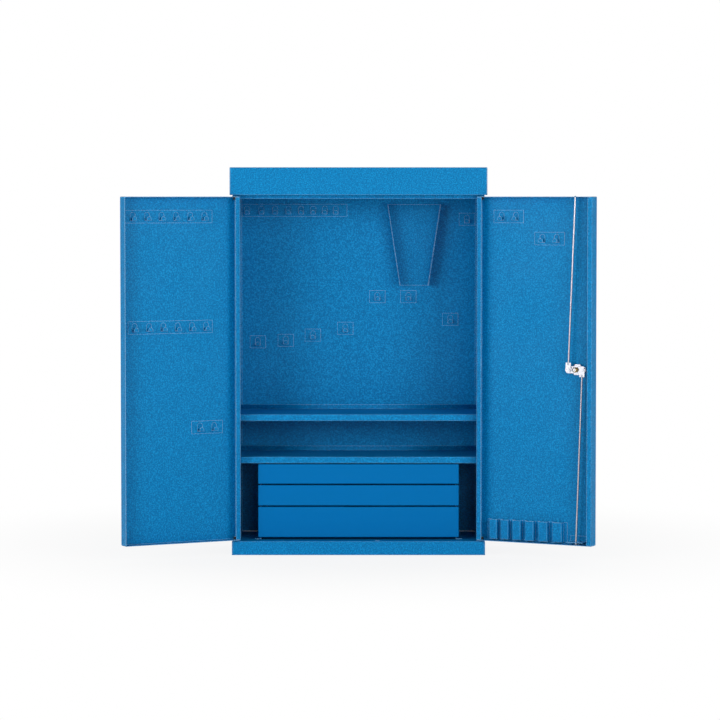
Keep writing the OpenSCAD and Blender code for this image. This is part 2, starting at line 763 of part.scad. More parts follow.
left_side_wall();
right_side_wall();
back_panel();
top_cap();
head_rail();
base_tray();
upper_shelf();
lower_shelf();
left_drawer_wall();
right_drawer_wall();
drawer_runners();
back_hook_rail();
single_hooks();
spanner_rack();
top_hinge_pins();
bottom_hinge_pins();
left_door_pan();
left_upper_hook_rail();
left_middle_hook_rail();
left_lower_hook_rail();
left_door_bushes();
right_door_pan();
right_upper_hook_rail();
right_lower_hook_rail();
chisel_holder();
right_door_bushes();
rod_guide();
lock_housing();
housing_nut();
turn_handle();
spindle();
cam_bar();
cam_nut();
rod_pins();
key_barrel();
upper_rod();
lower_rod();
top_drawer_tray();
top_drawer_front();
top_drawer_slides();
middle_drawer_tray();
middle_drawer_front();
middle_drawer_slides();
bottom_drawer_tray();
bottom_drawer_front();
bottom_drawer_slides();
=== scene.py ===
"""Finishes, small parts, lights and camera for a sheet steel tool cabinet."""

import json
import math

import bpy
import numpy as np
from bpy.props import FloatProperty, FloatVectorProperty, IntProperty, PointerProperty
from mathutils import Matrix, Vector


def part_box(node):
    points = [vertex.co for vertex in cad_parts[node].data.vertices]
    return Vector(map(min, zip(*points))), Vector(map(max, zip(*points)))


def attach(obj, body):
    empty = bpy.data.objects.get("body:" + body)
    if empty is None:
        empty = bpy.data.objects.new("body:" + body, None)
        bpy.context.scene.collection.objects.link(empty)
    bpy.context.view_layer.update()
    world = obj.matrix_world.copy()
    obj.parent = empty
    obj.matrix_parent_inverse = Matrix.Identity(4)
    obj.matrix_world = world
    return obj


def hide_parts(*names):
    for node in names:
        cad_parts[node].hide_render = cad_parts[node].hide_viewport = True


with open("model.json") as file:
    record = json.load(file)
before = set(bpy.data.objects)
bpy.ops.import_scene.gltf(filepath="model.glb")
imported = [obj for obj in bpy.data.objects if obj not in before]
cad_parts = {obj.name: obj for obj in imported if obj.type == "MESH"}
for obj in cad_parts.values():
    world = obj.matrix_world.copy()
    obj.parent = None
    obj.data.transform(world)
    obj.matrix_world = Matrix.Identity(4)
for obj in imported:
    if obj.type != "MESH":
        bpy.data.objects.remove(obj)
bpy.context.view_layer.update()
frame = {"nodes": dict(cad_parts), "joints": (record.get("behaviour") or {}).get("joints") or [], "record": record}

bl_info = {
    "name": "Tool cabinet",
    "version": (1, 0, 0),
    "blender": (4, 5, 0),
    "location": "View3D > Sidebar > Cabinet",
    "description": "Powder coat, zinc, moulded handle, welded corners and studio for a tool "
                   "cabinet",
    "category": "Object",
}

MM = 0.001
TINY = 0.01 * MM  # A radius that all but closes the end of a round piece.
NODES = frame["nodes"]
DRAWERS = ("top", "middle", "bottom")
JOINTS = {joint["name"]: joint for joint in frame["joints"]}
POWDER = "blue_structured_powder"
PAINT = "blue_smooth_paint"
PAINTED = {"rod_guide": POWDER}  # Its slot is zinc plated, but it is painted with its door.

# Name, turn from straight in front in degrees, distance, height, width and tallness in metres,
# and share of white. The key lamp stays narrow, so the lock doesn't mirror it.
LAMPS = (
    ("key_lamp", -35, 3.8, 1.2, 1.1, 1.4, 0.25),
    ("side_lamp", 36, 3.8, 1.4, 1.6, 1.4, 0.34),
    ("strip_lamp", -52, 2.9, 0.9, 1.0, 2.0, 0.16),
    ("fill_lamp", 9, 7.0, 1.5, 1.6, 1.6, 0.09),
)


def linear(code):
    """An sRGB hex colour as linear red, green and blue."""
    srgb = np.array([int(code[i:i + 2], 16) for i in (1, 3, 5)]) / 255
    return tuple(np.where(srgb <= 0.04045, srgb / 12.92, ((srgb + 0.055) / 1.055) ** 2.4))


def colour(name, code, about):
    """A colour property whose default is an sRGB hex colour."""
    return FloatVectorProperty(name=name, description=about, subtype="COLOR", size=3,
                               min=0, max=1, default=linear(code))


def length(name, size, about):
    """A length property in metres."""
    return FloatProperty(name=name, description=about, unit="LENGTH", subtype="DISTANCE",
                         min=0, default=size, precision=5)


class CabinetFinish(bpy.types.PropertyGroup):
    """Colours and grain sizes of the finishes."""

    powder: colour("Powder coat", "#007BB8", "Structured powder coat on the sheets")
    # Painted shade and painted glints: the hollows' darker colour and the grain tops' lighter colour follow the
    # grain's height.
    powder_hollow_shade: colour("Powder coat, hollows", "#006DA5", "Hollows between its grains")
    powder_grain_glint: colour("Powder coat, grains", "#1096D2", "Tops of its grains")
    # Painted highlight: this pale colour on sharp edges stands in for light catching them.
    edge_highlight: colour("Powder coat, edges", "#A9D3EE", "Where it runs thin over sharp edges")
    paint: colour("Drawer paint", "#0170B2", "Smooth paint on the drawers")
    zinc: colour("Zinc", "#B4B6BE", "Bright zinc plating on the rods, lock and runners")
    brass: colour("Brass", "#A08B56", "Nut of the cam bar")
    plastic: colour("Handle", "#17181B", "Black moulded plastic")
    grain: length("Grain spacing", 3.2 * MM, "Spacing of the powder coat's grains")
    grain_height: length("Grain height", 0.12 * MM, "Height of the powder coat's grains")
    # How far the painted edge highlight reaches from an edge.
    edge: length("Edge", 1.8 * MM, "How far the thin coat reaches from an edge")


class CabinetSizes(bpy.types.PropertyGroup):
    """Sizes of the pieces that are added to the cabinet."""

    corner: length("Corner radius", 2 * MM, "Outer radius of a fold and of a welded corner")
    door_width: length("Door width", 323 * MM, "Width of a door from edge to edge")
    door_depth: length("Door depth", 30 * MM, "Depth of a door")
    pin_inset: length("Pin inset", 6.5 * MM, "From the hinge pin's axis to the side of its door")
    pin_back: length("Pin depth", 11 * MM, "From the hinge pin's axis to the front of its door")
    sheet: length("Sheet", 1 * MM, "Thickness of the shelves' upstands")
    upstand: length("Upstand", 12 * MM, "Height of the upstand behind a shelf")
    weld: length("Spot weld", 5 * MM, "Diameter of a spot weld's mark")
    grip_length: length("Grip length", 72 * MM, "Length of the handle's grip")
    grip_width: length("Grip width", 20 * MM, "Width of the grip at its ends")
    grip_depth: length("Grip depth", 14 * MM, "Thickness of the grip over the spindle")
    hub_width: length("Hub width", 28 * MM, "Width of the grip over the spindle")


class CabinetStage(bpy.types.PropertyGroup):
    """Floor, lamps and camera."""

    floor_radius: length("Floor radius", 40.0, "Radius of the round floor")
    distance: length("Camera distance", 8.0, "From the camera to the front of the cabinet")
    sideways: length("Sideways", 3.9 * MM, "From the middle of the cabinet to the camera's plane")
    eye: length("Eye height", 0.9256, "Height of the camera above the floor")
    aim: length("Aim", 0.5048, "Height that the camera looks at")
    level: FloatProperty(name="Light level", description="Brightness of all the lamps", min=0,
                         default=0.95)
    front_glow: FloatProperty(name="Room in front", description="Brightness of the room behind "
                              "the camera, where white is 1", min=0, default=0.30)
    back_glow: FloatProperty(name="Room behind", description="Brightness of the room behind the "
                             "cabinet, where white is 1", min=0, default=0.8)
    sides: IntProperty(name="Floor sides", description="Corners of the floor's rim", min=16,
                       default=96)
    white_from: length("Shade ends", 0.4, "Where the floor starts to fade to white")
    white_to: length("White starts", 1.4, "Where the floor has faded to white")
    near_white: FloatProperty(name="White near it", description="Share of plain white in the "
                              "floor beside the cabinet", min=0, max=1, default=0.86)
    lens: FloatProperty(name="Focal length", description="Focal length in millimetres on a "
                        "sensor 36 mm wide", min=1, default=155.6)


# ---- Surfaces ----

def grid_faces(rows, columns):
    """Quads of a grid of rows by columns points. The columns run round and meet."""
    i, j = np.meshgrid(np.arange(rows - 1), np.arange(columns), indexing="ij")
    k = (j + 1) % columns
    quads = np.stack([i * columns + j, i * columns + k, (i + 1) * columns + k,
                      (i + 1) * columns + j], axis=-1)
    return quads.reshape(-1, 4)


def join_grids(grids):
    """One list of points and one of quads from (points, quads) pairs."""
    points, quads, start = [], [], 0
    for p, q in grids:
        points.append(p)
        quads.append(q + start)
        start += len(p)
    return np.concatenate(points), np.concatenate(quads)


def superellipse(power, count):
    """A rounded outline in a square from -1 to 1, where |x| ^ power + |y| ^ power = 1.

    Formula: x = sign(cos a) * |cos a| ^ (2 / power), and y the same with the sine.
    """
    a = np.linspace(0, 2 * np.pi, count, endpoint=False)
    return tuple(np.sign(wave) * np.abs(wave) ** (2 / power) for wave in (np.cos(a), np.sin(a)))


def make_piece(name, grids, body, slot):
    """A smooth shaded piece with its place in its mesh, riding on a body."""
    points, quads = join_grids(grids)
    mesh = bpy.data.meshes.new(name)
    mesh.from_pydata(points.tolist(), [], quads.tolist())
    mesh.validate()
    mesh.shade_smooth()
    mesh.materials.append(finish_for(slot))
    piece = bpy.data.objects.new(name, mesh)
    bpy.context.scene.collection.objects.link(piece)
    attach(piece, body)
    return piece


def revolved(base, along, steps, radii, sides=24):
    """A round bar: at steps[i] along a direction its section is a circle of radius radii[i].

    Formula: base + along * step + radius * (cos(a) * e1 + sin(a) * e2), where e1 and e2 are
    square to the direction and a runs once round. A radius of nearly zero all but closes an end.
    """
    along = np.asarray(along, float) / np.linalg.norm(along)
    other = np.array([1.0, 0, 0]) if abs(along[0]) < 0.9 else np.array([0, 1.0, 0])
    e1 = np.cross(along, other)
    e1 /= np.linalg.norm(e1)
    e2 = np.cross(along, e1)
    a = np.linspace(0, 2 * np.pi, sides, endpoint=False)
    ring = np.cos(a)[:, None] * e1 + np.sin(a)[:, None] * e2
    points = (np.asarray(base) + np.asarray(steps)[:, None, None] * along
              + np.asarray(radii)[:, None, None] * ring)
    return points.reshape(-1, 3), grid_faces(len(steps), sides)


def corner_post(corner, inward, along, depth, r):
    """A welded corner: a bar of radius r that rounds off two sheets and ends in a ball.

    The bar's axis lies r inside both faces, so it touches each of them from inside. From the
    ball's pole its radius grows as sqrt(r * r - (r - s) * (r - s)), stays r, and ends flat.
    """
    ball = r * (1 - np.cos(np.linspace(0.02, np.pi / 2, 7)))
    steps = np.concatenate([ball, np.full(2, depth - 0.1 * MM)])
    radii = np.concatenate([np.sqrt(r * r - (r - ball) ** 2), [r, TINY]])
    return revolved(np.asarray(corner) + np.asarray(inward) * r, along, steps, radii)


def weld_mark(centre, normal, d):
    """A spot weld's mark: a low ring round a shallow dish.

    Its height over the sheet is 0.3 mm * exp(-((r - 0.4 d) / (0.1 d)) ^ 2) at radius r.
    """
    r = np.linspace(TINY, d / 2, 12)
    height = 0.3 * MM * np.exp(-(((r - 0.4 * d) / (0.1 * d)) ** 2)) + 0.02 * MM
    height[-1] = -0.02 * MM
    return revolved(centre, normal, height, r, 20)


class DoorPlace:
    """Turns a door's own (u, v, z) into the frame: u from the pin to the free edge, v inwards."""

    def __init__(self, side):
        joint = JOINTS[side + "_door_hinge"]
        opened = math.radians(180 + joint["range_deg"][0])
        self.sign = math.copysign(1, joint["pos_m"][0])
        self.pin = np.array(joint["pos_m"][:2])
        self.u = np.array([self.sign * math.cos(opened), -math.sin(opened), 0])
        self.v = np.array([-self.sign * math.sin(opened), -math.cos(opened), 0])

    def __call__(self, u, v, z):
        return (np.array([*self.pin, 0]) + np.multiply.outer(u, self.u)
                + np.multiply.outer(v, self.v) + np.multiply.outer(z, np.array([0, 0, 1.0])))

    def extent(self, node):
        """The lowest and the highest (u, v, z) of a node's mesh."""
        co = np.array([vertex.co for vertex in NODES[node].data.vertices])
        flat = co[:, :2] - self.pin
        own = np.stack([flat @ self.u[:2], flat @ self.v[:2], co[:, 2]], axis=-1)
        return own.min(axis=0), own.max(axis=0)


# ---- Materials ----

def add(tree, kind, settings, inputs):
    """Adds a node with its settings. An input is a value, or the socket that feeds it."""
    new = tree.nodes.new(kind)
    for name, value in settings.items():
        setattr(new, name, value)
    for name, value in inputs.items():
        if isinstance(value, bpy.types.NodeSocket):
            tree.links.new(value, new.inputs[name])
        else:
            new.inputs[name].default_value = value
    return new


def new_material(name):
    """An empty material and its node tree, with the Principled shader linked to the output."""
    material = bpy.data.materials.new(name)
    material.use_nodes = True
    tree = material.node_tree
    tree.nodes.clear()
    shader = tree.nodes.new("ShaderNodeBsdfPrincipled")
    output = tree.nodes.new("ShaderNodeOutputMaterial")
    tree.links.new(shader.outputs["BSDF"], output.inputs["Surface"])
    return material, tree, shader


def rgba(value):
    return (*value, 1.0)


def edge_of(tree, reach):
    """How near an edge is, from 0 on a flat sheet to 0.8 on the edge.

    A normal that is averaged over the reach turns away from the sheet's own beside an edge. The
    edge is where the two differ: 1 - their dot product, from 0.01 to 0.18.
    """
    soft = add(tree, "ShaderNodeBevel", {"samples": 4}, {"Radius": reach})
    flat = add(tree, "ShaderNodeNewGeometry", {}, {})
    alike = add(tree, "ShaderNodeVectorMath", {"operation": "DOT_PRODUCT"}, {
        0: soft.outputs["Normal"], 1: flat.outputs["Normal"]})
    return add(tree, "ShaderNodeMapRange", {}, {
        "Value": alike.outputs["Value"], "From Min": 0.99, "From Max": 0.82,
        "To Max": 0.8}).outputs["Result"]


def structured_powder(finish):
    """Structured powder coat: polyester powder baked on sheet steel, with an orange peel grain.

    The grains break the lamps' reflection into light and dark specks, so the sheet looks
    dry and slightly glittering where it faces a lamp, and deep blue where it doesn't. The real
    grain is about 1 mm. It is drawn coarser, because a pixel of the picture covers 2.6 mm. Its
    colour is darker in the grains' hollows and lighter on their tops, which is painted shade and
    painted glints. The pale thin lines along the edges are a painted highlight, in place of light
    catching the edges.
    """
    material, tree, shader = new_material("structured_powder_coat")
    place = add(tree, "ShaderNodeTexCoord", {}, {}).outputs["Object"]
    grain = add(tree, "ShaderNodeTexNoise", {}, {
        "Vector": place, "Scale": 1 / finish.grain, "Detail": 2.0, "Roughness": 0.55})
    cloud = add(tree, "ShaderNodeTexNoise", {}, {
        "Vector": place, "Scale": 9.0, "Detail": 1.0})
    # The colour follows the same noise as the bump: painted shade in the hollows, painted glints on the tops.
    dark = add(tree, "ShaderNodeMapRange", {}, {
        "Value": grain.outputs["Fac"], "From Min": 0.34, "From Max": 0.5})
    light = add(tree, "ShaderNodeMapRange", {}, {
        "Value": grain.outputs["Fac"], "From Min": 0.5, "From Max": 0.68})
    low = add(tree, "ShaderNodeMix", {"data_type": "RGBA"}, {
        "Factor": dark.outputs["Result"], "A": rgba(finish.powder_hollow_shade), "B": rgba(finish.powder)})
    high = add(tree, "ShaderNodeMix", {"data_type": "RGBA"}, {
        "Factor": light.outputs["Result"], "A": low.outputs["Result"],
        "B": rgba(finish.powder_grain_glint)})
    # Painted highlight: the sheet's colour is mixed towards a pale one near edges, in place of light catching
    # them.
    edge_lit = add(tree, "ShaderNodeMix", {"data_type": "RGBA"}, {
        "Factor": edge_of(tree, finish.edge), "A": high.outputs["Result"],
        "B": rgba(finish.edge_highlight)})
    rough = add(tree, "ShaderNodeMapRange", {}, {
        "Value": cloud.outputs["Fac"], "From Min": 0.3, "From Max": 0.7, "To Min": 0.38,
        "To Max": 0.48})
    bump = add(tree, "ShaderNodeBump", {}, {
        "Height": grain.outputs["Fac"], "Strength": 1.0, "Distance": finish.grain_height * 4})
    tree.links.new(edge_lit.outputs["Result"], shader.inputs["Base Color"])
    tree.links.new(rough.outputs["Result"], shader.inputs["Roughness"])
    tree.links.new(bump.outputs["Normal"], shader.inputs["Normal"])
    shader.inputs["Specular IOR Level"].default_value = 0.1
    return material


def smooth_paint(finish):
    """Smooth stove enamel on the drawers: an even colour with a faint, long orange peel."""
    material, tree, shader = new_material("smooth_stove_enamel")
    place = add(tree, "ShaderNodeTexCoord", {}, {}).outputs["Object"]
    peel = add(tree, "ShaderNodeTexNoise", {}, {
        "Vector": place, "Scale": 1 / (6 * MM), "Detail": 1.0})
    rough = add(tree, "ShaderNodeMapRange", {}, {
        "Value": peel.outputs["Fac"], "To Min": 0.3, "To Max": 0.4})
    bump = add(tree, "ShaderNodeBump", {}, {
        "Height": peel.outputs["Fac"], "Strength": 0.25, "Distance": 0.1 * MM})
    shader.inputs["Base Color"].default_value = rgba(finish.paint)
    shader.inputs["Specular IOR Level"].default_value = 0.04
    tree.links.new(rough.outputs["Result"], shader.inputs["Roughness"])
    tree.links.new(bump.outputs["Normal"], shader.inputs["Normal"])
    return material


def bright_zinc(finish):
    """Bright zinc plating on drawn wire and stamped steel: cloudy, slightly blue and shiny."""
    material, tree, shader = new_material("bright_zinc_plating")
    place = add(tree, "ShaderNodeTexCoord", {}, {}).outputs["Object"]
    cloud = add(tree, "ShaderNodeTexNoise", {}, {
        "Vector": place, "Scale": 1 / (8 * MM), "Detail": 4.0})
    rough = add(tree, "ShaderNodeMapRange", {}, {
        "Value": cloud.outputs["Fac"], "From Min": 0.3, "From Max": 0.7, "To Min": 0.18,
        "To Max": 0.28})
    shader.inputs["Base Color"].default_value = rgba(finish.zinc)
    shader.inputs["Metallic"].default_value = 1.0
    tree.links.new(rough.outputs["Result"], shader.inputs["Roughness"])
    return material


def turned_brass(finish):
    """Turned brass: warm and bright, with fine marks of the tool that blur its reflections.

    The real marks are some hundredths of a millimetre, so they are drawn coarser, as a cloud.
    """
    material, tree, shader = new_material("turned_brass")
    place = add(tree, "ShaderNodeTexCoord", {}, {}).outputs["Object"]
    marks = add(tree, "ShaderNodeTexNoise", {}, {
        "Vector": place, "Scale": 1 / (1 * MM), "Detail": 2.0})
    rough = add(tree, "ShaderNodeMapRange", {}, {
        "Value": marks.outputs["Fac"], "To Min": 0.25, "To Max": 0.42})
    shader.inputs["Base Color"].default_value = rgba(finish.brass)
    shader.inputs["Metallic"].default_value = 1.0
    tree.links.new(rough.outputs["Result"], shader.inputs["Roughness"])
    return material


def moulded_plastic(finish):
    """Black glass-filled nylon from a spark-eroded mould: satin, with a fine even grain.

    The real grain is about 0.2 mm. It is drawn coarser, to show in the picture.
    """
    material, tree, shader = new_material("moulded_nylon")
    place = add(tree, "ShaderNodeTexCoord", {}, {}).outputs["Object"]
    grain = add(tree, "ShaderNodeTexNoise", {}, {
        "Vector": place, "Scale": 1 / (1.2 * MM), "Detail": 2.0})
    rough = add(tree, "ShaderNodeMapRange", {}, {
        "Value": grain.outputs["Fac"], "To Min": 0.42, "To Max": 0.58})
    bump = add(tree, "ShaderNodeBump", {}, {
        "Height": grain.outputs["Fac"], "Strength": 0.5, "Distance": 0.1 * MM})
    shader.inputs["Base Color"].default_value = rgba(finish.plastic)
    tree.links.new(rough.outputs["Result"], shader.inputs["Roughness"])
    tree.links.new(bump.outputs["Normal"], shader.inputs["Normal"])
    return material


FINISHES = {
    POWDER: structured_powder,
    PAINT: smooth_paint,
    "zinc_plated": bright_zinc,
    "brass": turned_brass,
    "black_plastic": moulded_plastic,
}
MADE = {}


def finish_for(slot):
    """The material of one of the record's slots, made once."""
    if slot not in MADE:
        MADE[slot] = FINISHES[slot](bpy.context.scene.cabinet_finish)
    return MADE[slot]


# ---- Operators ----

class CABINET_OT_finishes(bpy.types.Operator):
    """Gives every sheet, rod, runner and fastener its finish. The rod guide is painted"""

    bl_idname = "cabinet.finishes"
    bl_label = "Finish the metal"

    def execute(self, context):
        for part in frame["record"]["subparts"]:
            for slot in NODES[part["node"]].material_slots:
                slot.material = finish_for(PAINTED.get(part["node"], part["material_slot"]))
        return {"FINISHED"}


class CABINET_OT_box_corners(bpy.types.Operator):
    """Adds the welded corners of the base, the header and the drawers"""

    bl_idname = "cabinet.box_corners"
    bl_label = "Weld the box corners"

    def execute(self, context):
        r = context.scene.cabinet_sizes.corner
        posts = []
        for node, backs in (("base_tray", (0, 1)), ("top_cap", (0,))):
            low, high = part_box(node)
            for x, sx in ((low.x, 1), (high.x, -1)):
                for back in backs:
                    corner = (x, (low.y, high.y)[back], high.z)
                    posts.append(corner_post(corner, (sx, 1 - 2 * back, 0), (0, 0, -1),
                                             high.z - low.z, r))
        make_piece("cabinet_corners", posts, "cabinet", POWDER)
        for name in DRAWERS:
            posts = []
            low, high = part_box(name + "_drawer_front")
            for x, sx in ((low.x, 1), (high.x, -1)):
                for z, sz in ((low.z, 1), (high.z, -1)):
                    posts.append(corner_post((x, low.y, z), (sx, 0, sz), (0, 1, 0),
                                             high.y - low.y, r))
            low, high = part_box(name + "_drawer_tray")
            for x, sx in ((low.x, 1), (high.x, -1)):
                for y, sy in ((low.y, 1), (high.y, -1)):
                    posts.append(corner_post((x, y, low.z), (sx, sy, 0), (0, 0, 1),
                                             high.z - low.z, r))
            make_piece(name + "_drawer_corners", posts, name + "_drawer", PAINT)
        return {"FINISHED"}


class CABINET_OT_door_corners(bpy.types.Operator):
    """Adds the welded corners of both doors"""

    bl_idname = "cabinet.door_corners"
    bl_label = "Weld the door corners"

    def execute(self, context):
        sizes = context.scene.cabinet_sizes
        r = sizes.corner
        for side in ("left", "right"):
            place = DoorPlace(side)
            low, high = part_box(side + "_door_pan")
            posts = []
            for u, su in ((-sizes.pin_inset, 1), (sizes.door_width - sizes.pin_inset, -1)):
                for z, sz in ((low.z, 1), (high.z, -1)):
                    posts.append(corner_post(place(u, -sizes.pin_back, z),
                                             su * place.u + np.array([0, 0, sz]), place.v,
                                             sizes.door_depth, r))
            make_piece(side + "_door_corners", posts, side + "_door", POWDER)
        return {"FINISHED"}


class CABINET_OT_shelf_upstands(bpy.types.Operator):
    """Adds the low upstand along the back of each shelf"""

    bl_idname = "cabinet.shelf_upstands"
    bl_label = "Fold the shelf upstands"

    def execute(self, context):
        sizes = context.scene.cabinet_sizes
        inset, behind, sunk = 3 * MM, 1 * MM, 0.3 * MM
        # A strip along x. Its section is a superellipse of power 8, a rectangle with rounded
        # corners, as thick and as high as the upstand. Each end shrinks to almost nothing.
        across, up = superellipse(8, 48)
        size = np.array([0.001, 1, 1, 0.001]) / 2
        strips = []
        for node in ("upper_shelf", "lower_shelf"):
            low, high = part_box(node)
            x = np.array([low.x, low.x, high.x, high.x]) + np.array([1, 1, -1, -1]) * inset
            y = high.y - behind + np.outer(size, across) * sizes.sheet
            z = high.z + sizes.upstand / 2 - sunk + np.outer(size, up) * sizes.upstand
            points = np.stack([np.broadcast_to(x[:, None], y.shape), y, z], axis=-1)
            strips.append((points.reshape(-1, 3), grid_faces(*y.shape)))
        make_piece("shelf_upstands", strips, "cabinet", POWDER)
        return {"FINISHED"}


class CABINET_OT_spot_welds(bpy.types.Operator):
    """Adds the marks of the spot welds that hold the shelves in the side walls"""

    bl_idname = "cabinet.spot_welds"
    bl_label = "Mark the spot welds"

    def execute(self, context):
        d = context.scene.cabinet_sizes.weld
        margin, count = 25 * MM, 4
        marks = []
        for node in ("upper_shelf", "lower_shelf"):
            low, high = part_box(node)
            for side, wall in ((-1, "left_side_wall"), (1, "right_side_wall")):
                wall_low, wall_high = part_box(wall)
                x = wall_low.x if side < 0 else wall_high.x
                for y in np.linspace(low.y + margin, high.y - margin, count):
                    marks.append(weld_mark((x, y, (low.z + high.z) / 2), (side, 0, 0), d))
        make_piece("shelf_spot_welds", marks, "cabinet", POWDER)
        return {"FINISHED"}


class CABINET_OT_handle(bpy.types.Operator):
    """Replaces the plain handle with a moulded one: a waisted grip on a flared neck"""

    bl_idname = "cabinet.handle"
    bl_label = "Mould the handle"

    def execute(self, context):
        sizes = context.scene.cabinet_sizes
        place = DoorPlace("right")
        low, high = place.extent("turn_handle")
        axis_u, _, z = (low + high) / 2
        front, back = low[1], high[1]
        half, hub_reach = sizes.grip_length / 2, 15 * MM

        # The grip: along u its half width is hub, waist and tip in turn, and each section is a
        # superellipse of power 2.6 that shrinks to a round end. t runs from -1 to 1 along it.
        t = np.sin(np.linspace(-np.pi / 2, np.pi / 2, 65)) * 0.9999
        end = (1 - np.abs(t) ** 5) ** 0.5
        hub = np.exp(-((t * half / hub_reach) ** 2))
        waisted = sizes.grip_width * (0.82 + 0.18 * t * t)
        width = (waisted * (1 - hub) + sizes.hub_width * hub) / 2 * end
        depth = sizes.grip_depth / 2 * (0.84 + 0.16 * hub) * end
        across, through = superellipse(2.6, 40)
        grip = place(axis_u + np.repeat(t * half, len(across)),
                     front + sizes.grip_depth / 2 + np.outer(depth, through).ravel(),
                     z + np.outer(width, across).ravel())

        # The neck: its radius falls from the foot to the hub as 12 mm + 7 mm * (1 - s) ^ 2.5,
        # where s runs from 0 to 1. Its end lies inside the grip, and its foot is rounded off.
        neck, flare, foot = 12 * MM, 7 * MM, 18.6 * MM
        s = np.linspace(0, 1, 14)
        reach = back - front - 8 * MM
        radii = np.concatenate([[TINY, foot], neck + flare * (1 - s) ** 2.5, [TINY]])
        steps = np.concatenate([[0, 0], 0.5 * MM + s * reach, [reach + 1 * MM]])
        grids = [(grip, grid_faces(len(t), len(across))),
                 revolved(place(axis_u, back, z), -place.v, steps, radii, 48)]
        handle = make_piece("moulded_handle", grids, "lock", "black_plastic")
        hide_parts("turn_handle")
        return {"FINISHED"}


class CABINET_OT_cam_nut(bpy.types.Operator):
    """Replaces the plain nut of the cam bar with a chamfered brass one round a domed stud"""

    bl_idname = "cabinet.cam_nut"
    bl_label = "Turn the cam nut"

    def execute(self, context):
        place = DoorPlace("right")
        low, high = place.extent("cam_nut")
        middle = place((low[0] + high[0]) / 2, low[1], (low[2] + high[2]) / 2)
        flat = (high[0] - low[0]) / 2 * math.cos(math.pi / 6)
        thick = high[1] - low[1]

        # The nut's section at angle a is a hexagon, flat / cos(a mod 60 degrees - 30 degrees).
        # Near the face it is cut by a cone: radius <= 1.02 flat + 1.7 * depth below the face.
        steps = np.array([0, 0, 0.55, 0.7, 0.8, 0.9, 1, 1]) * thick
        a = np.linspace(0, 2 * np.pi, 72, endpoint=False)
        hexagon = flat / np.cos(a % (np.pi / 3) - np.pi / 6)
        cone = 1.02 * flat + 1.7 * (thick - steps)
        radii = np.minimum(hexagon, cone[:, None])
        radii[[0, -1]] = TINY
        ring = np.outer(np.cos(a), place.u) + np.outer(np.sin(a), (0, 0, 1))
        nut = middle + steps[:, None, None] * place.v + radii[..., None] * ring

        # The stud's end is a dome: height = rise * sqrt(1 - (r / stud) ^ 2).
        stud, rise, sunk = 0.55 * flat, 1.2 * MM, 0.2 * MM
        r = np.linspace(1, 0, 9)
        dome = revolved(middle, place.v, thick - sunk + rise * np.sqrt(1 - r * r),
                        np.maximum(r * stud, TINY), 32)
        grids = [(nut.reshape(-1, 3), grid_faces(len(steps), len(a))[:, ::-1]), dome]
        piece = make_piece("chamfered_cam_nut", grids, "lock", "brass")
        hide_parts("cam_nut")
        return {"FINISHED"}


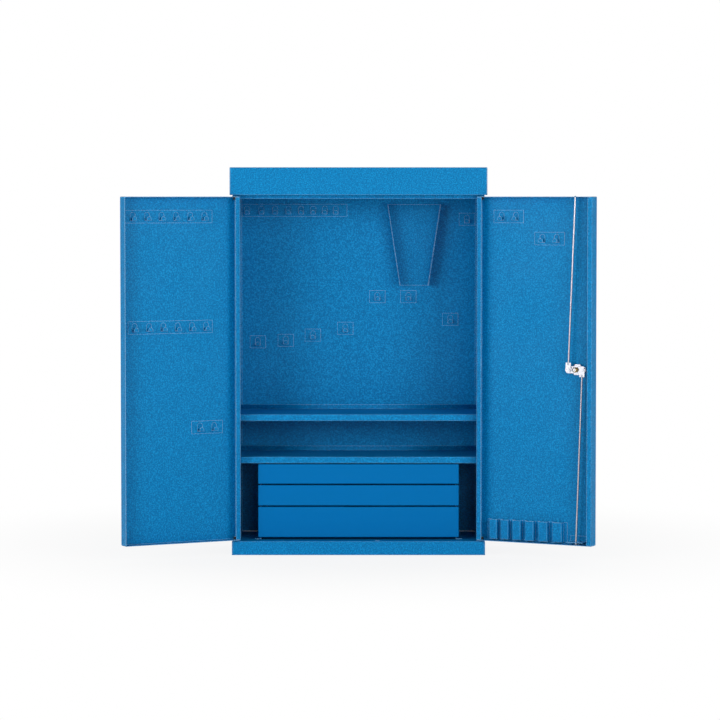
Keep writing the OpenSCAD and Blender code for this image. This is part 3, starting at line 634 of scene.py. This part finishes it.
class CABINET_OT_stage(bpy.types.Operator):
    """Sets up the floor, the white surroundings, the lamps and the camera"""

    bl_idname = "cabinet.stage"
    bl_label = "Set up the studio"

    def execute(self, context):
        stage = context.scene.cabinet_stage
        self.floor(stage)
        self.world(stage)
        self.lamps(stage)
        self.camera(stage)
        context.scene.view_settings.view_transform = "Standard"
        return {"FINISHED"}

    def floor(self, stage):
        """A round floor just under the cabinet, which fades to plain white far from it."""
        radii = np.array([0.01, 1, 3, 10, stage.floor_radius])
        heights = np.full(len(radii), -0.3 * MM)
        points, quads = revolved((0, 0, 0), (0, 0, 1), heights, radii, stage.sides)
        mesh = bpy.data.meshes.new("floor")
        mesh.from_pydata(points.tolist(), [], quads[:, ::-1].tolist())
        floor = bpy.data.objects.new("floor", mesh)
        bpy.context.scene.collection.objects.link(floor)
        material, tree, shader = new_material("pale_floor")
        shader.inputs["Base Color"].default_value = rgba(linear("#F4F4F3"))
        shader.inputs["Roughness"].default_value = 0.9
        place = add(tree, "ShaderNodeTexCoord", {}, {}).outputs["Object"]
        reach = add(tree, "ShaderNodeVectorMath", {"operation": "LENGTH"}, {0: place})
        far = add(tree, "ShaderNodeMapRange", {"interpolation_type": "SMOOTHSTEP"}, {
            "Value": reach.outputs["Value"], "From Min": stage.white_from,
            "From Max": stage.white_to, "To Min": stage.near_white})
        path = add(tree, "ShaderNodeLightPath", {}, {})
        seen = add(tree, "ShaderNodeMath", {"operation": "MAXIMUM"}, {
            0: path.outputs["Is Camera Ray"], 1: path.outputs["Is Glossy Ray"]})
        fac = add(tree, "ShaderNodeMath", {"operation": "MULTIPLY"}, {
            0: far.outputs["Result"], 1: seen.outputs["Value"]})
        glow = add(tree, "ShaderNodeEmission", {}, {"Color": (1, 1, 1, 1), "Strength": 1.0})
        both = add(tree, "ShaderNodeMixShader", {}, {
            0: fac.outputs["Value"], 1: shader.outputs["BSDF"], 2: glow.outputs["Emission"]})
        output = next(n for n in tree.nodes if n.type == "OUTPUT_MATERIAL")
        tree.links.new(both.outputs["Shader"], output.inputs["Surface"])
        mesh.materials.append(material)

    def world(self, stage):
        """Plain white to the camera and to transmission rays. Reflections show white behind the
        cabinet and a dark room in front. The sheets are lit by both, less from in front.
        """
        world = bpy.data.worlds.new("studio")
        bpy.context.scene.world = world
        world.use_nodes = True
        tree = world.node_tree
        tree.nodes.clear()
        way = add(tree, "ShaderNodeTexCoord", {}, {}).outputs["Generated"]
        depth = add(tree, "ShaderNodeSeparateXYZ", {}, {"Vector": way})
        behind = add(tree, "ShaderNodeMapRange", {"interpolation_type": "SMOOTHSTEP"}, {
            "Value": depth.outputs["Y"], "From Min": -0.1, "From Max": 0.7})
        room = add(tree, "ShaderNodeMapRange", {}, {
            "Value": behind.outputs["Result"], "To Min": stage.front_glow,
            "To Max": stage.back_glow})
        path = add(tree, "ShaderNodeLightPath", {}, {})
        shown = add(tree, "ShaderNodeMix", {}, {
            "Factor": path.outputs["Is Glossy Ray"], "A": room.outputs["Result"],
            "B": behind.outputs["Result"]})
        clear = add(tree, "ShaderNodeMath", {"operation": "MAXIMUM"}, {
            0: path.outputs["Is Camera Ray"], 1: path.outputs["Is Transmission Ray"]})
        bright = add(tree, "ShaderNodeMath", {"operation": "MAXIMUM"}, {
            0: shown.outputs["Result"], 1: clear.outputs["Value"]})
        back = add(tree, "ShaderNodeBackground", {}, {
            "Color": (1, 1, 1, 1), "Strength": bright.outputs["Value"]})
        output = add(tree, "ShaderNodeOutputWorld", {}, {"Surface": back.outputs["Background"]})
        output.is_active_output = True

    def lamps(self, stage):
        """Soft boxes that face the middle of the cabinet.

        A lamp of power share * (pi * distance) ^ 2 lights a white card to that share of white.
        """
        middle = Vector((0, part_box("base_tray")[0].y / 2, 0.5))
        for name, turn, distance, height, width, tall, share in LAMPS:
            lamp = bpy.data.lights.new(name, "AREA")
            lamp.shape = "RECTANGLE"
            lamp.size = width
            lamp.size_y = tall
            lamp.energy = stage.level * share * (math.pi * distance) ** 2
            holder = bpy.data.objects.new(name, lamp)
            turn = math.radians(turn)
            place = middle + distance * Vector((math.sin(turn), -math.cos(turn), 0))
            place.z = height
            holder.location = place
            holder.rotation_euler = (middle - place).to_track_quat("-Z", "Y").to_euler()
            bpy.context.scene.collection.objects.link(holder)

    def camera(self, stage):
        """A long lens from far in front, a little below the cabinet's top."""
        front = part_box("base_tray")[0].y
        data = bpy.data.cameras.new("camera")
        data.sensor_width = 36
        data.lens = stage.lens
        camera = bpy.data.objects.new("camera", data)
        camera.location = (stage.sideways, front - stage.distance, stage.eye)
        aim = Vector((stage.sideways, front, stage.aim))
        camera.rotation_euler = (aim - camera.location).to_track_quat("-Z", "Y").to_euler()
        bpy.context.scene.collection.objects.link(camera)
        bpy.context.scene.camera = camera


class CABINET_PT_panel(bpy.types.Panel):
    """Lists the cabinet's pieces and their settings"""

    bl_idname = "CABINET_PT_panel"
    bl_label = "Tool cabinet"
    bl_space_type = "VIEW_3D"
    bl_region_type = "UI"
    bl_category = "Cabinet"

    def draw(self, context):
        for operator in OPERATORS:
            self.layout.operator(operator.bl_idname)
        for group in GROUPS:
            settings = getattr(context.scene, group)
            for name in GROUPS[group].__annotations__:
                self.layout.prop(settings, name)


OPERATORS = (CABINET_OT_finishes, CABINET_OT_box_corners, CABINET_OT_door_corners,
             CABINET_OT_shelf_upstands, CABINET_OT_spot_welds, CABINET_OT_handle,
             CABINET_OT_cam_nut, CABINET_OT_stage)
GROUPS = {"cabinet_finish": CabinetFinish, "cabinet_sizes": CabinetSizes,
          "cabinet_stage": CabinetStage}


def register():
    for group in GROUPS:
        bpy.utils.register_class(GROUPS[group])
        setattr(bpy.types.Scene, group, PointerProperty(type=GROUPS[group]))
    for operator in OPERATORS:
        bpy.utils.register_class(operator)
    bpy.utils.register_class(CABINET_PT_panel)


def unregister():
    bpy.utils.unregister_class(CABINET_PT_panel)
    for operator in reversed(OPERATORS):
        bpy.utils.unregister_class(operator)
    for group in GROUPS:
        delattr(bpy.types.Scene, group)
        bpy.utils.unregister_class(GROUPS[group])


def main():
    register()
    bpy.ops.cabinet.finishes()
    bpy.ops.cabinet.box_corners()
    bpy.ops.cabinet.door_corners()
    bpy.ops.cabinet.shelf_upstands()
    bpy.ops.cabinet.spot_welds()
    bpy.ops.cabinet.handle()
    bpy.ops.cabinet.cam_nut()
    bpy.ops.cabinet.stage()


if __name__ == "__main__":
    main()
